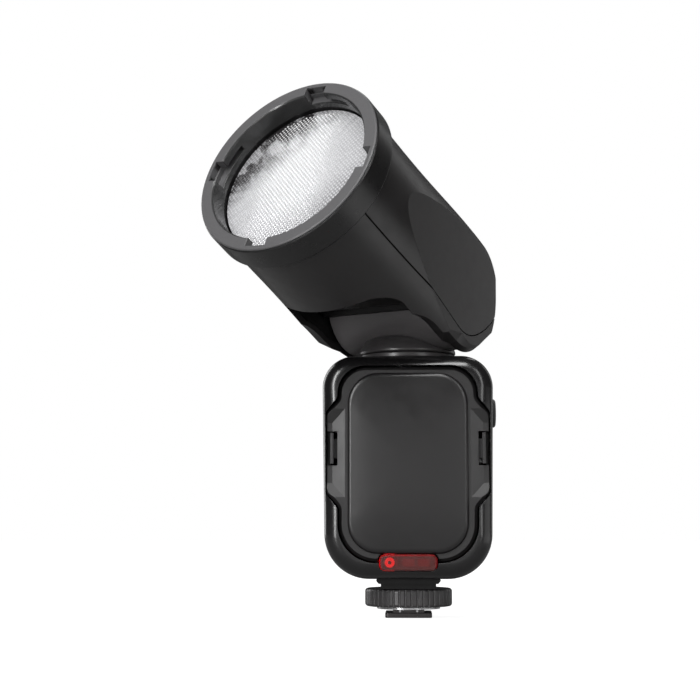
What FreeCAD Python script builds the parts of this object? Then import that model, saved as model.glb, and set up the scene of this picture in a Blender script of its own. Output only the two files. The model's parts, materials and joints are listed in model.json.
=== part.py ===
"""Round-head speedlight flash: hot-shoe foot, battery body, swivel yoke and tilting zoom head.

Millimetres, +Z up. The origin is the centre of the hot-shoe foot's bottom face, and the battery
side of the body faces -Y. The head is modelled turned and tilted, as the flash is often set.
"""
import FreeCAD, Part
import math
import os

V = FreeCAD.Vector
X_AXIS = V(1, 0, 0)
Y_AXIS = V(0, 1, 0)
Z_AXIS = V(0, 0, 1)

# ---------------------------------------------------------------- driving dimensions
RUN = 0.05                 # radial clearance of a running fit
GAP = 0.3                  # free gap between parts that move past each other
WALL = 2.2                 # casing wall

SWIVEL_DEG = 31.5          # head turned from -Y towards -X
TILT_DEG = 25.4            # head raised above horizontal
TILT_Z = 127.6             # height of the tilt axis

FOOT_W = 18.5              # accessory-shoe foot, across
FOOT_L = 18.0              # accessory-shoe foot, along
FOOT_T = 2.0               # accessory-shoe foot, thickness
STEM_W = 12.4              # stem that passes between the shoe's rails
PLATE_Z = 3.3              # underside of the clamp plate when it is released
PLATE_T = 0.8
CLAMP_TRAVEL = 1.1         # how far the clamp plate comes down
WHEEL_Z0 = 4.3
WHEEL_Z1 = 11.4
WHEEL_R = 17.4
WHEEL_RIDGES = 46
WHEEL_GROOVE_R = 0.5
POST_R = 7.0

BODY_Z0 = 15.6             # bottom of the casing
BODY_Z1 = 102.3            # top of the casing
BODY_Y0 = -28.0            # front of the casing
BODY_Y1 = 27.0             # rear of the casing
SPLIT_Y = -9.6             # where the front frame meets the rear cover
TOP_X = 33.5               # half width near the top
LOW_X = 32.4               # half width near the bottom
TOP_R = 12.5               # upper corner radius
LOW_R = 17.4               # lower corner radius

PANEL_X = 23.4             # half width of the battery's front panel
PANEL_Z0 = 25.3
PANEL_Z1 = 95.4
PANEL_R = 12.0
RIM_X = 27.3               # half width of the opening in the front frame
RIM_Z0 = 21.8
RIM_Z1 = 98.2
RIM_R = 15.0               # lower corners of the opening
RIM_TOP_R = 11.0           # upper corners of the opening
SCALLOP_X = 32.0           # half width of the opening at the finger scallops
SCALLOP_Z0 = 48.4
SCALLOP_Z1 = 80.2
SCALLOP_SLOPE = 5.4        # height of the slanted end of a scallop
SCALLOP_R = 3.0
TUB_X = 21.2               # half width of the battery behind its flange
TUB_Z0 = 29.0
TUB_Z1 = 93.2
TUB_Y = -3.2               # inner end of the battery
CELL_R = 9.1

COLLAR_R = 19.5
DRUM_R = 21.5
DRUM_HALF = 25.2
SWIVEL_TUBE_R = 8.0
SWIVEL_BORE_R = 5.2
TILT_SHAFT_R = 5.0
TILT_BORE_R = 3.4

RING_FACE = 93.3           # front of the bayonet ring, ahead of the tilt axis
RING_R = 38.25
RING_W = 11.4
RING_BORE_R = 32.6
RING_NOTCH_R = 36.0
NOTCH_START = 4.0          # first bayonet notch, clockwise from the top as seen from the front
NOTCH_HALF = 4.5
NOTCH_DEG = 15.0
GROOVE_DEG = 18.0          # groove that leads clockwise from each notch
BARREL_R = 36.3            # barrel just behind the ring
DOME_R = 38.5              # round rear of the head
CHEEK_T = 30.0             # half width of the head at the tilt axis
CHEEK_SLOPE = 0.1          # the flat cheeks open out towards the front
TAIL_R = 24.9              # rear and underside of the head, about the tilt axis
SEAM_UP = -17.5            # height of the seam between the head's two shells
SEAM_GAP = 0.45
SEAM_REAR = [(-10.2, -12.8), (-17.0, -6.4), (-23.0, 1.7), (-27.0, 12.0)]
CHEEK_BEVEL = [              # lower corners of the cheeks: half width, distance from the tilt axis
    (38.0, 3.2), (30.2, 17.6), (28.2, 21.3), (26.0, 22.6), (22.0, 24.9)]
BEVEL_GROWTH = 0.225         # how fast that section grows towards the front
RING_GAP = 0.35              # dark line between the shells and the ring's sleeve
SLOT_HALF = 25.8           # half width of the slot that the neck passes through
SLOT_LIP = 50.0            # front lip of that slot
SLOT_CORNER_R = 15.0
WELL_R = 21.9              # hollow that the drum turns in
HUB_R = 7.4

LENS_R = 32.2
LENS_X = 84.2              # edge of the front glass, ahead of the tilt axis
LENS_RISE = 1.0
REFLECTOR_R = 27.4
REFLECTOR_X = 78.0         # mouth of the reflector at its widest beam
RAIL_R = 1.25
RAIL_Y = 28.2
RAIL_Z = 10.2
SCREW_Z = 30.2             # height of the zoom lead screw
SCREW_R = 1.5

DISPLAY_X = 25.0
DISPLAY_Z0 = 63.0
DISPLAY_Z1 = 96.0
DIAL_Z = 42.0
DIAL_R = 12.6
SET_R = 6.0
BUTTONS = {                # x, z, half width, half height
    "mode_button": (-17.0, 57.6, 4.6, 2.2),
    "group_button": (17.0, 57.6, 4.6, 2.2),
    "test_button": (-22.4, DIAL_Z, 3.4, 3.4),
    "power_button": (22.4, DIAL_Z, 3.4, 3.4),
}
BUTTON_FACE_Y = 28.3
SCREW_SPOTS = [(-20.0, 30.5), (20.0, 30.5)]

SYNC_Z = 62.0
USB_Z = 46.0
PORT_Y = 1.6
PORT_FLOOR_X = 31.7        # floor of the recess that the port cover lies in
COVER_Y = 9.2              # half width of the port cover
COVER_Z0 = 30.0
COVER_Z1 = 87.5

CONTACT_SPOTS = [(0, 0), (-3.4, -5.6), (3.4, -5.6), (-3.4, 5.6), (3.4, 5.6)]
PIN_Y = 5.2                # lock pin, behind the centre contact

TILT_POINT = V(0, 0, TILT_Z)
parts = {}


# ---------------------------------------------------------------- helpers
def box(x0, x1, y0, y1, z0, z1):
    return Part.makeBox(x1 - x0, y1 - y0, z1 - z0, V(x0, y0, z0))


def rod(radius, start, end):
    axis = end - start
    return Part.makeCylinder(radius, axis.Length, start, axis)


def tube(outer, inner, start, end):
    return rod(outer, start, end).cut(rod(inner, start, end))


def rounded_wire(points, y):
    """Closed outline in the XZ plane; each point is (x, z, corner radius)."""
    edges = []
    count = len(points)
    stops = []
    for i in range(count):
        before = V(points[i - 1][0], y, points[i - 1][1])
        here = V(points[i][0], y, points[i][1])
        after = V(points[(i + 1) % count][0], y, points[(i + 1) % count][1])
        radius = points[i][2]
        if radius <= 0:
            stops.append((here, here, here))
            continue
        back = (before - here).normalize()
        ahead = (after - here).normalize()
        half = back.getAngle(ahead) / 2
        reach = radius / math.tan(half)
        middle = (back + ahead).normalize()
        crown = here + middle * (radius / math.sin(half) - radius)
        stops.append((here + back * reach, crown, here + ahead * reach))
    for i in range(count):
        start, crown, end = stops[i]
        if (end - start).Length > 1e-6:
            edges.append(Part.Arc(start, crown, end).toShape())
        following = stops[(i + 1) % count][0]
        if (following - end).Length > 1e-6:
            edges.append(Part.makeLine(end, following))
    return Part.Wire(edges)


def prism_y(points, y0, y1):
    """Outline in the XZ plane, extruded from y0 to y1."""
    return Part.Face(rounded_wire(points, y0)).extrude(V(0, y1 - y0, 0))


def rounded_rect(x, z0, z1, radius):
    return [(-x, z0, radius), (x, z0, radius), (x, z1, radius), (-x, z1, radius)]


def offset_prism_y(wire, inset, y0, y1):
    """Outline wire shrunk by inset and extruded from y0 to y1."""
    face = Part.Face(wire)
    if inset:
        face = face.makeOffset2D(-inset)
    face.translate(V(0, y0 - face.BoundBox.YMin, 0))
    return face.extrude(V(0, y1 - y0, 0))


def edges_at(shape, test):
    """Edges whose every vertex passes the test."""
    return [e for e in shape.Edges if all(test(v.Point) for v in e.Vertexes)]


def upright_edges(shape):
    """Straight edges parallel to Z."""
    found = []
    for edge in shape.Edges:
        ends = [v.Point for v in edge.Vertexes]
        if len(ends) == 2 and (ends[1] - ends[0]).cross(Z_AXIS).Length < 1e-6:
            found.append(edge)
    return found


def fillet_at(shape, radius, test):
    return shape.makeFillet(radius, edges_at(shape, test))


def chamfer_at(shape, size, test):
    return shape.makeChamfer(size, edges_at(shape, test))


def revolve_x(points):
    """Solid of revolution about X from (x, r) points joined by straight lines."""
    wire = Part.makePolygon([V(x, 0, r) for x, r in points] + [V(points[0][0], 0, points[0][1])])
    return Part.Face(wire).revolve(V(0, 0, 0), X_AXIS, 360)


def revolve_z(points):
    """Solid of revolution about Z from (r, z) points joined by straight lines."""
    wire = Part.makePolygon([V(r, 0, z) for r, z in points] + [V(points[0][0], 0, points[0][1])])
    return Part.Face(wire).revolve(V(0, 0, 0), Z_AXIS, 360)


def prism_t(points, half):
    """Polygon in the head's side view (forward, up), extruded across the head."""
    wire = Part.makePolygon([V(f, -half, u) for f, u in points] + [V(points[0][0], -half, points[0][1])])
    return Part.Face(wire).extrude(V(0, 2 * half, 0))


def mirror_x(shape):
    return shape.mirror(V(0, 0, 0), X_AXIS)


def fuse_all(shapes):
    joined = shapes[0].multiFuse(shapes[1:])
    return joined.removeSplitter()


def add(name, *shapes):
    parts[name] = shapes[0] if len(shapes) == 1 else Part.Compound(list(shapes))


def yoke_placement():
    """Yoke frame: X horizontally towards the lens, Y along the tilt axis, Z up."""
    return FreeCAD.Placement(V(0, 0, 0), FreeCAD.Rotation(Z_AXIS, -90 - SWIVEL_DEG))


def head_placement():
    """Head frame: origin on the tilt axis, X towards the lens, Y along the tilt axis."""
    turn = FreeCAD.Rotation(Z_AXIS, -90 - SWIVEL_DEG)
    raise_up = FreeCAD.Rotation(Y_AXIS, -TILT_DEG)
    return FreeCAD.Placement(TILT_POINT, turn.multiply(raise_up))


def add_yoke(name, *shapes):
    add(name, *[s.transformed(yoke_placement().toMatrix()) for s in shapes])


def add_head(name, *shapes):
    add(name, *[s.transformed(head_placement().toMatrix()) for s in shapes])


# ---------------------------------------------------------------- body casing
def body_outline():
    """Front view of the casing: flat top and bottom, slightly tapering sides."""
    return rounded_wire([
        (-LOW_R * 1.86, BODY_Z0, LOW_R), (LOW_R * 1.86, BODY_Z0, LOW_R),
        (TOP_X, BODY_Z1, TOP_R), (-TOP_X, BODY_Z1, TOP_R)], BODY_Y0)


def body_solid(inset, front_round, rear_round):
    y0 = BODY_Y0 + inset
    y1 = BODY_Y1 - inset
    solid = offset_prism_y(body_outline(), inset, y0, y1)
    solid = fillet_at(solid, front_round, lambda p: abs(p.y - y0) < 1e-3)
    return fillet_at(solid, rear_round, lambda p: abs(p.y - y1) < 1e-3)


def rim_points(inset):
    """Opening in the front frame, with a finger scallop in the middle of each side."""
    x = RIM_X - inset
    far = SCALLOP_X - inset
    z0 = RIM_Z0 + inset
    z1 = RIM_Z1 - inset
    slant = math.atan2(far - x, SCALLOP_SLOPE)
    low = SCALLOP_Z0 + inset * math.tan(slant / 2)
    high = SCALLOP_Z1 - inset * math.tan(slant / 2)
    inner = SCALLOP_R + inset
    outer = SCALLOP_R - inset
    right = [
        (x, z0, RIM_R - inset), (x, low - SCALLOP_SLOPE, inner), (far, low, outer),
        (far, high, outer), (x, high + SCALLOP_SLOPE, inner), (x, z1, RIM_TOP_R - inset)]
    left = [(-px, pz, r) for px, pz, r in reversed(right)]
    return right + left


def build_casing():
    shell = body_solid(0, 6.0, 7.0).cut(body_solid(WALL, 4.0, 5.0))
    front_half = box(-50, 50, -60, SPLIT_Y, 0, 120)
    rear_half = box(-50, 50, SPLIT_Y + 0.02, 60, 0, 120)

    front = shell.common(front_half)
    collar = prism_y(rim_points(-2.0), BODY_Y0 + 0.6, -18.5).common(body_solid(0, 6.0, 7.0))
    front = front.fuse(collar)
    front = front.cut(prism_y(rim_points(0), -40, 0))
    front = front.cut(window_prism(0.25, -40, 0))
    add("front_frame", front)

    rear = shell.common(rear_half)
    rear = rear.cut(rod(SWIVEL_TUBE_R + RUN, V(0, 0, 90), V(0, 0, 110)))
    rear = rear.cut(prism_y(rounded_rect(DISPLAY_X + 0.2, DISPLAY_Z0 - 0.2, DISPLAY_Z1 + 0.2, 3.2), 25.6, 40))
    rear = rear.cut(prism_y(rounded_rect(DISPLAY_X - 1.5, DISPLAY_Z0 + 1.5, DISPLAY_Z1 - 1.5, 2), 20, 40))
    rear = rear.cut(rod(7.4, V(0, 20, DIAL_Z), V(0, 40, DIAL_Z)))
    rear = rear.cut(rod(DIAL_R + GAP, V(0, 26.2, DIAL_Z), V(0, 40, DIAL_Z)))
    for place in BUTTONS.values():
        rear = rear.cut(button_prism(place, 0.2, 20, 40))
    rear = rear.cut(rod(2.85, V(20, PORT_Y, SYNC_Z), V(40, PORT_Y, SYNC_Z)))
    rear = rear.cut(box(20, 40, PORT_Y - 4.55, PORT_Y + 4.55, USB_Z - 1.75, USB_Z + 1.75))
    for x, z in SCREW_SPOTS:
        rear = rear.cut(rod(1.75, V(x, 26.2, z), V(x, 30, z)))
    rear = rear.cut(port_window(GAP).cut(body_solid(0.9, 6.0, 7.0)))
    add("rear_cover", rear)


def window_outline(grow, y):
    half = 11.2 + grow
    radius = 2.4 + grow
    return rounded_wire([(-half, 18.9 - grow, radius), (half, 18.9 - grow, radius),
                         (half, 25.1 + grow, radius), (-half, 25.1 + grow, radius)], y)


def window_prism(grow, y0, y1):
    return Part.Face(window_outline(grow, y0)).extrude(V(0, y1 - y0, 0))


# ---------------------------------------------------------------- controls on the rear
def button_prism(place, grow, y0, y1):
    x, z, half_w, half_h = place
    points = [(x - half_w - grow, z - half_h - grow, half_h), (x + half_w + grow, z - half_h - grow, half_h),
              (x + half_w + grow, z + half_h + grow, half_h), (x - half_w - grow, z + half_h + grow, half_h)]
    return prism_y([(px, pz, min(r, half_h * 0.98)) for px, pz, r in points], y0, y1)


def build_controls():
    glass = prism_y(rounded_rect(DISPLAY_X, DISPLAY_Z0, DISPLAY_Z1, 3), 25.62, 27.1)
    glass = chamfer_at(glass, 0.3, lambda p: abs(p.y - 27.1) < 1e-3)
    add("display_glass", glass)
    add("display_module", prism_y(rounded_rect(DISPLAY_X - 2, DISPLAY_Z0 + 2, DISPLAY_Z1 - 2, 1), 22.2, 25.5))

    for name, place in BUTTONS.items():
        cap = button_prism(place, 0, 24.0, BUTTON_FACE_Y)
        cap = fillet_at(cap, 0.6, lambda p: abs(p.y - BUTTON_FACE_Y) < 1e-3)
        flange = button_prism(place, 0.9, 23.2, 24.0)
        add(name, cap.fuse(flange))

    ridges = [rod(0.75, V(DIAL_R * math.cos(a), 26, DIAL_Z + DIAL_R * math.sin(a)),
                  V(DIAL_R * math.cos(a), 32, DIAL_Z + DIAL_R * math.sin(a)))
              for a in [math.radians(12 * i) for i in range(30)]]
    dial = rod(DIAL_R, V(0, 26.5, DIAL_Z), V(0, 30.8, DIAL_Z))
    dial = fillet_at(dial, 0.9, lambda p: abs(p.y - 30.8) < 1e-3)
    dial = dial.cut(Part.Compound(ridges))
    dial = dial.fuse(rod(7.2, V(0, 23.0, DIAL_Z), V(0, 27, DIAL_Z)))
    dial = dial.cut(rod(SET_R + 0.2, V(0, 20, DIAL_Z), V(0, 40, DIAL_Z)))
    add("control_dial", dial)

    button = rod(SET_R, V(0, 23.8, DIAL_Z), V(0, 31.2, DIAL_Z))
    button = fillet_at(button, 0.8, lambda p: p.y > 31)
    add("set_button", button)
    pad = box(-27, 27, 19.9, 21.4, 35, 61).cut(rod(8.5, V(0, 10, DIAL_Z), V(0, 30, DIAL_Z)))
    add("button_pad", pad)


def build_boards():
    add("control_board", box(-26, 26, 18.2, 19.8, 30, 97.0))
    board = box(-27.5, 27.5, -1.2, 0.4, 28, 93).cut(box(16, 30, -5, 5, USB_Z - 3, SYNC_Z + 4))
    add("main_board", board)
    add("main_capacitor", rod(8.4, V(-20, 9.4, 38.5), V(20, 9.4, 38.5)))
    add("charge_transformer", box(-22, -6, 0.5, 12.5, 52, 68))


def port_window(grow):
    """Block that the port cover's outline is taken from."""
    return box(28, 50, PORT_Y - COVER_Y - grow, PORT_Y + COVER_Y + grow, COVER_Z0 - grow, COVER_Z1 + grow)


def build_ports():
    socket = box(24.2, PORT_FLOOR_X, PORT_Y - 4.5, PORT_Y + 4.5, USB_Z - 1.7, USB_Z + 1.7)
    socket = socket.cut(box(25.4, 40, PORT_Y - 4.1, PORT_Y + 4.1, USB_Z - 1.25, USB_Z + 1.25))
    add("usb_socket", socket)
    jack = rod(2.8, V(17.5, PORT_Y, SYNC_Z), V(PORT_FLOOR_X, PORT_Y, SYNC_Z))
    jack = jack.cut(rod(1.8, V(18.3, PORT_Y, SYNC_Z), V(40, PORT_Y, SYNC_Z)))
    add("sync_jack", jack)

    cover = body_solid(-0.7, 6.0, 7.0).cut(body_solid(0.6, 6.0, 7.0)).common(port_window(0))
    lip = rod(5.8, V(32.9, PORT_Y, 81.4), V(35.6, PORT_Y, 81.4))
    lip = fillet_at(lip, 1.2, lambda p: p.x > 35)
    add("port_cover", cover.fuse(lip))


# ---------------------------------------------------------------- battery
def pack_prism(inset, y0, y1):
    """Battery flange, smaller than the opening in the frame by inset."""
    return prism_y(rim_points(inset), y0, y1)


def grip_cut():
    """Slanted facet on the right side of the flange, which a fingertip presses against."""
    across = Part.makePolygon([
        V(24.4, -25.62, 40), V(29.4, -23.9, 40), V(34, -23.9, 40), V(34, -30, 40), V(24.4, -30, 40),
        V(24.4, -25.62, 40)])
    along = Part.makePolygon([
        V(20, -25.62, 47.0), V(20, -23.6, 53.5), V(20, -23.6, 75.0), V(20, -25.62, 81.5), V(20, -30, 81.5),
        V(20, -30, 47.0), V(20, -25.62, 47.0)])
    return Part.Face(across).extrude(V(0, 0, 50)).common(Part.Face(along).extrude(V(20, 0, 0)))


def build_battery():
    panel = prism_y(rounded_rect(PANEL_X, PANEL_Z0, PANEL_Z1, PANEL_R), -28.4, -25.6)
    panel = fillet_at(panel, 2.5, lambda p: abs(p.y + 28.4) < 1e-3)
    add("battery_panel", panel)

    outlines = [rounded_wire(rim_points(1.7), -25.6), rounded_wire(rim_points(0.5), -24.4)]
    flange = Part.makeLoft(outlines, True, True).fuse(pack_prism(0.5, -24.4, -19.4))
    grip = grip_cut().fuse(box(27.5, 34, -26, -18, 59.4, 72.6))
    flange = flange.cut(grip).cut(mirror_x(grip))
    tub = prism_y(rounded_rect(TUB_X, TUB_Z0, TUB_Z1, 4.0), -19.4, TUB_Y)
    case = flange.fuse(tub)
    cavity = prism_y(rounded_rect(TUB_X - 1.5, TUB_Z0 + 1.5, TUB_Z1 - 1.5, 2.5), -23.8, TUB_Y - 1.4)
    case = case.cut(cavity)
    slot = box(20, 40, -23.4, -20.8, 61.4, 70.6)
    case = case.cut(slot).cut(mirror_x(slot))
    add("battery_case", case.cut(window_prism(0.7, -40, 0)))

    cells = [rod(CELL_R, V(x, -14.2, TUB_Z0 + 1.8), V(x, -14.2, TUB_Z0 + 60.3)) for x in (-9.3, 9.3)]
    add("battery_cells", *cells)
    pads = [box(-13 + 7 * i, -9 + 7 * i, TUB_Y, TUB_Y + 0.5, 32, 40) for i in range(4)]
    add("battery_terminals", *pads)

    springs = []
    for name, flip in (("latch_right", False), ("latch_left", True)):
        tab = box(28.9, 30.4, -25.8, -19.6, 60.0, 72.0)
        tab = fillet_at(tab, 0.7, lambda p: p.x > 30.2 and p.y < -25)
        arm = box(23.4, 29.2, -23.0, -21.2, 62.2, 69.8)
        latch = tab.fuse(arm)
        spring = tube(1.2, 0.8, V(20.1, -22.1, 66), V(22.1, -22.1, 66))
        add(name, mirror_x(latch) if flip else latch)
        springs.append(mirror_x(spring) if flip else spring)
    add("latch_springs", *springs)

    bay = prism_y(rounded_rect(TUB_X + 1.5, TUB_Z0 - 1.5, TUB_Z1 + 1.5, 5.0), -18.4, -1.5)
    bay = bay.cut(prism_y(rounded_rect(TUB_X + 0.4, TUB_Z0 - 0.4, TUB_Z1 + 0.4, 4.2), -30, -2.8))
    for i in range(4):
        bay = bay.cut(box(-13.2 + 7 * i, -8.8 + 7 * i, -3, 0, 31.8, 40.2))
    add("battery_bay", bay)
    blades = [box(-12.6 + 7 * i, -9.4 + 7 * i, TUB_Y + 0.6, -1.3, 33, 39) for i in range(4)]
    add("bay_contacts", *blades)


# ---------------------------------------------------------------- focus lamp
def build_focus_lamp():
    bevel = Part.makeLoft([window_outline(-0.5, -27.9), window_outline(0, -27.4)], True, True)
    window = bevel.fuse(window_prism(0, -27.4, -26.4)).fuse(window_prism(-0.9, -26.4, -25.3))
    add("focus_window", window)
    lamp = rod(1.9, V(-7.2, -25.0, 22), V(-7.2, -22.0, 22)).fuse(Part.makeSphere(1.9, V(-7.2, -24.6, 22)))
    lamp = lamp.common(box(-20, 20, -25.1, 0, 0, 50))
    bars = [box(x0, x1, -25.1, -23.4, 20.6, 23.4) for x0, x1 in ((-4.9, -4.2), (-2.2, 2.4), (3.6, 8.2))]
    add("focus_leds", lamp, *bars)


# ---------------------------------------------------------------- foot
def build_foot():
    outline = [(-13.2, BODY_Z0, 0.6), (13.2, BODY_Z0, 0.6), (11.6, 13.6, 0.6), (-11.6, 13.6, 0.6)]
    upper = prism_y(outline, -19.0, 17.0)
    block = box(-10.8, 10.8, -16.6, 14.6, WHEEL_Z1 + 0.2, 13.8)
    post = rod(POST_R, V(0, 0, 4.2), V(0, 0, 12.5))
    base = fuse_all([upper, block, post])
    base = base.cut(rod(2.6, V(0, 0, 0), V(0, 0, 30)))
    base = base.cut(rod(1.0, V(0, PIN_Y, 0), V(0, PIN_Y, 30)))
    add("pedestal", base)

    plate = box(-FOOT_W / 2, FOOT_W / 2, -FOOT_L / 2, FOOT_L / 2, 0, FOOT_T)
    plate = plate.makeFillet(1.2, upright_edges(plate))
    plate = chamfer_at(plate, 0.25, lambda p: p.z > FOOT_T - 1e-3)
    plate = chamfer_at(plate, 0.25, lambda p: p.z < 1e-3)
    stem = box(-STEM_W / 2, STEM_W / 2, -FOOT_L / 2 + 0.6, FOOT_L / 2 - 0.6, FOOT_T - 0.2, 4.15)
    foot = plate.fuse(stem)
    foot = foot.cut(rod(2.6, V(0, 0, -1), V(0, 0, 5)))
    foot = foot.cut(rod(0.95, V(0, PIN_Y, -1), V(0, PIN_Y, 5)))
    for x, y in CONTACT_SPOTS[1:]:
        foot = foot.cut(rod(1.3, V(x, y, -1), V(x, y, 5)))
    add("shoe_foot", foot)

    carrier = rod(2.55, V(0, 0, 0), V(0, 0, 14.6)).cut(rod(1.0, V(0, 0, 0), V(0, 0, 15)))
    sleeves = [tube(1.25, 0.75, V(x, y, 0), V(x, y, 3.0)) for x, y in CONTACT_SPOTS[1:]]
    add("contact_carrier", carrier, *sleeves)
    pins = []
    for i, (x, y) in enumerate(CONTACT_SPOTS):
        radius, top = (0.95, 14.0) if i == 0 else (0.7, 3.6)
        pins.append(rod(radius, V(x, y, 0), V(x, y, top)))
    add("hot_contacts", *pins)

    wheel = rod(WHEEL_R, V(0, 0, WHEEL_Z0), V(0, 0, WHEEL_Z1))
    wheel = wheel.makeFillet(1.2, [e for e in wheel.Edges if len(e.Vertexes) == 1])
    grooves = []
    for i in range(WHEEL_RIDGES):
        angle = 2 * math.pi * i / WHEEL_RIDGES
        centre = V(math.cos(angle), math.sin(angle), 0) * (WHEEL_R + 0.1)
        grooves.append(rod(WHEEL_GROOVE_R, centre + V(0, 0, WHEEL_Z0 - 1), centre + V(0, 0, WHEEL_Z1 + 1)))
    wheel = wheel.cut(Part.Compound(grooves))
    wheel = wheel.cut(rod(POST_R + RUN, V(0, 0, 0), V(0, 0, 20)))
    add("lock_wheel", wheel)

    clamp = rod(12.6, V(0, 0, PLATE_Z), V(0, 0, PLATE_Z + PLATE_T))
    clamp = clamp.cut(box(-STEM_W / 2 - 0.2, STEM_W / 2 + 0.2, -9, 9, 0, 10))
    add("clamp_plate", clamp)
    add("lock_pin", rod(0.85, V(0, PIN_Y, 1.2), V(0, PIN_Y, 11.8)))


# ---------------------------------------------------------------- yoke
def build_yoke():
    clear = rod(DRUM_R + 0.25, V(0, -60, TILT_Z), V(0, 60, TILT_Z))
    z0 = BODY_Z1 + GAP
    base_ring = revolve_z([(12.0, z0), (COLLAR_R - 0.3, z0), (COLLAR_R, z0 + 0.3), (COLLAR_R, 104.2),
                           (COLLAR_R - 0.5, 104.6), (12.0, 104.6)])
    add_yoke("collar_ring", base_ring)

    outline = [V(8.6, 0, 104.9), V(COLLAR_R - 0.5, 0, 104.9)]
    low = V(COLLAR_R, 0, 105.3)
    mid = V(COLLAR_R, 0, 105.9)
    top = V(11.0, 0, 112.6)
    crown = V(17.0, 0, 110.3)
    edges = [
        Part.makeLine(outline[0], outline[1]), Part.makeLine(outline[1], low), Part.makeLine(low, mid),
        Part.Arc(mid, crown, top).toShape(), Part.makeLine(top, V(8.6, 0, 112.6)),
        Part.makeLine(V(8.6, 0, 112.6), outline[0])]
    dome = Part.Face(Part.Wire(edges)).revolve(V(0, 0, 0), Z_AXIS, 360)
    add_yoke("neck_collar", dome.cut(clear))

    drum = rod(DRUM_R, V(0, -DRUM_HALF, TILT_Z), V(0, DRUM_HALF, TILT_Z))
    drum = drum.makeFillet(0.8, [e for e in drum.Edges if len(e.Vertexes) == 1])
    drum = drum.cut(rod(DRUM_R - 1.8, V(0, -DRUM_HALF + 1.8, TILT_Z), V(0, DRUM_HALF - 1.8, TILT_Z)))
    drum = drum.cut(rod(TILT_SHAFT_R + 0.02, V(0, -60, TILT_Z), V(0, 60, TILT_Z)))
    drum = drum.cut(rod(SWIVEL_TUBE_R + 0.1, V(0, 0, 100), V(0, 0, TILT_Z - 10)))
    add_yoke("tilt_drum", drum)

    shaft = tube(TILT_SHAFT_R, TILT_BORE_R, V(0, -26.8, TILT_Z), V(0, 26.8, TILT_Z))
    add_yoke("tilt_shaft", shaft)

    post = tube(SWIVEL_TUBE_R, SWIVEL_BORE_R, V(0, 0, 96.6), V(0, 0, TILT_Z - 9.0))
    cradle = box(-7.5, 7.5, -14, 14, TILT_Z - 11.5, TILT_Z + 7.0)
    cradle = cradle.cut(box(-20, 20, -9.5, 9.5, TILT_Z - 7.5, TILT_Z + 20))
    cradle = cradle.cut(rod(SWIVEL_BORE_R, V(0, 0, 90), V(0, 0, TILT_Z)))
    cradle = cradle.cut(rod(TILT_SHAFT_R + 0.02, V(0, -30, TILT_Z), V(0, 30, TILT_Z)))
    add_yoke("yoke_frame", post.fuse(cradle).removeSplitter())

    nut = tube(11.5, SWIVEL_TUBE_R + 0.02, V(0, 0, 97.4), V(0, 0, 99.8))
    for i in range(4):
        angle = math.radians(90 * i + 45)
        centre = V(math.cos(angle), math.sin(angle), 0) * 11.5
        nut = nut.cut(rod(1.6, centre + V(0, 0, 97), centre + V(0, 0, 100)))
    add_yoke("swivel_nut", nut)
    stop = tube(5.9, TILT_SHAFT_R + 0.02, V(0, -23.2, TILT_Z), V(0, -18.6, TILT_Z))
    disc = tube(11.5, 5.9, V(0, -21.6, TILT_Z), V(0, -20.0, TILT_Z))
    for i in range(18):
        angle = math.radians(20 * i)
        notch = V(math.cos(angle) * 11.7, 0, math.sin(angle) * 11.7 + TILT_Z)
        disc = disc.cut(rod(0.9, notch + V(0, -23, 0), notch + V(0, -18, 0)))
    add_yoke("detent_disc", stop.fuse(disc))


# ---------------------------------------------------------------- head shells
def head_side_profile(inset):
    """Side view that keeps the head clear of the body at both ends of its tilt."""
    tail = TAIL_R - inset
    slope = math.radians(30)
    touch = V(-tail * math.cos(slope), 0, tail * math.sin(slope))
    top = 60.0
    crest = V((top * math.sin(slope) - tail) / math.cos(slope), 0, top)
    bottom = V(0, 0, -tail)
    belly = V(14.0, 0, -tail)
    chin = V(40.0, 0, -tail - 8.4)
    sweep_up = Part.BSplineCurve()
    sweep_up.interpolate([belly, V(21.0, 0, -tail - 0.1), V(27.0, 0, -tail - 1.4), V(33.0, 0, -tail - 4.4), chin])
    edges = [
        Part.makeLine(crest, V(120, 0, top)), Part.makeLine(V(120, 0, top), V(120, 0, -60)),
        Part.makeLine(V(120, 0, -60), V(48.0, 0, -60)), Part.makeLine(V(48.0, 0, -60), chin),
        sweep_up.toShape(), Part.makeLine(belly, bottom),
        Part.Arc(bottom, V(-tail * math.cos(math.radians(30)), 0, -tail * math.sin(math.radians(30))),
                 touch).toShape(),
        Part.makeLine(touch, crest)]
    wire = Part.Wire(edges)
    wire.translate(V(0, -60, 0))
    return Part.Face(wire).extrude(V(0, 120, 0))


def cheek_section(inset, grow, place):
    """Outline across the head with bevelled lower corners, put in space by place(across, down)."""
    corners = [(half - inset + grow, down - inset + grow) for half, down in CHEEK_BEVEL]
    side = [(corners[0][0], 0.0)] + corners
    outline = side + [(-half, down) for half, down in reversed(side)]
    return Part.makePolygon([place(half, down) for half, down in outline + outline[:1]])


def corner_space(inset):
    """Space the head keeps once the lower corners of its cheeks are bevelled."""
    reach = 40.0
    below_axis = cheek_section(inset, 0.0, lambda across, down: V(0, across, -down))
    ahead = cheek_section(inset, reach * BEVEL_GROWTH, lambda across, down: V(reach, across, -down))
    behind = cheek_section(inset, 0.0, lambda across, down: V(-0.82 * down, across, -0.57 * down))
    wheel = Part.Face(below_axis).revolve(V(0, 0, 0), Y_AXIS, 360)
    front = Part.makeLoft([below_axis, ahead], True, True)
    rear = Part.Face(behind).extrude(V(-0.57, 0, 0.82) * 60)
    above = prism_t([(0, 0), (-46, 66), (120, 66), (120, 0)], 60)
    below = box(36, 120, -60, 60, -60, 0)
    return fuse_all([wheel, front, rear, above, below])


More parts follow.
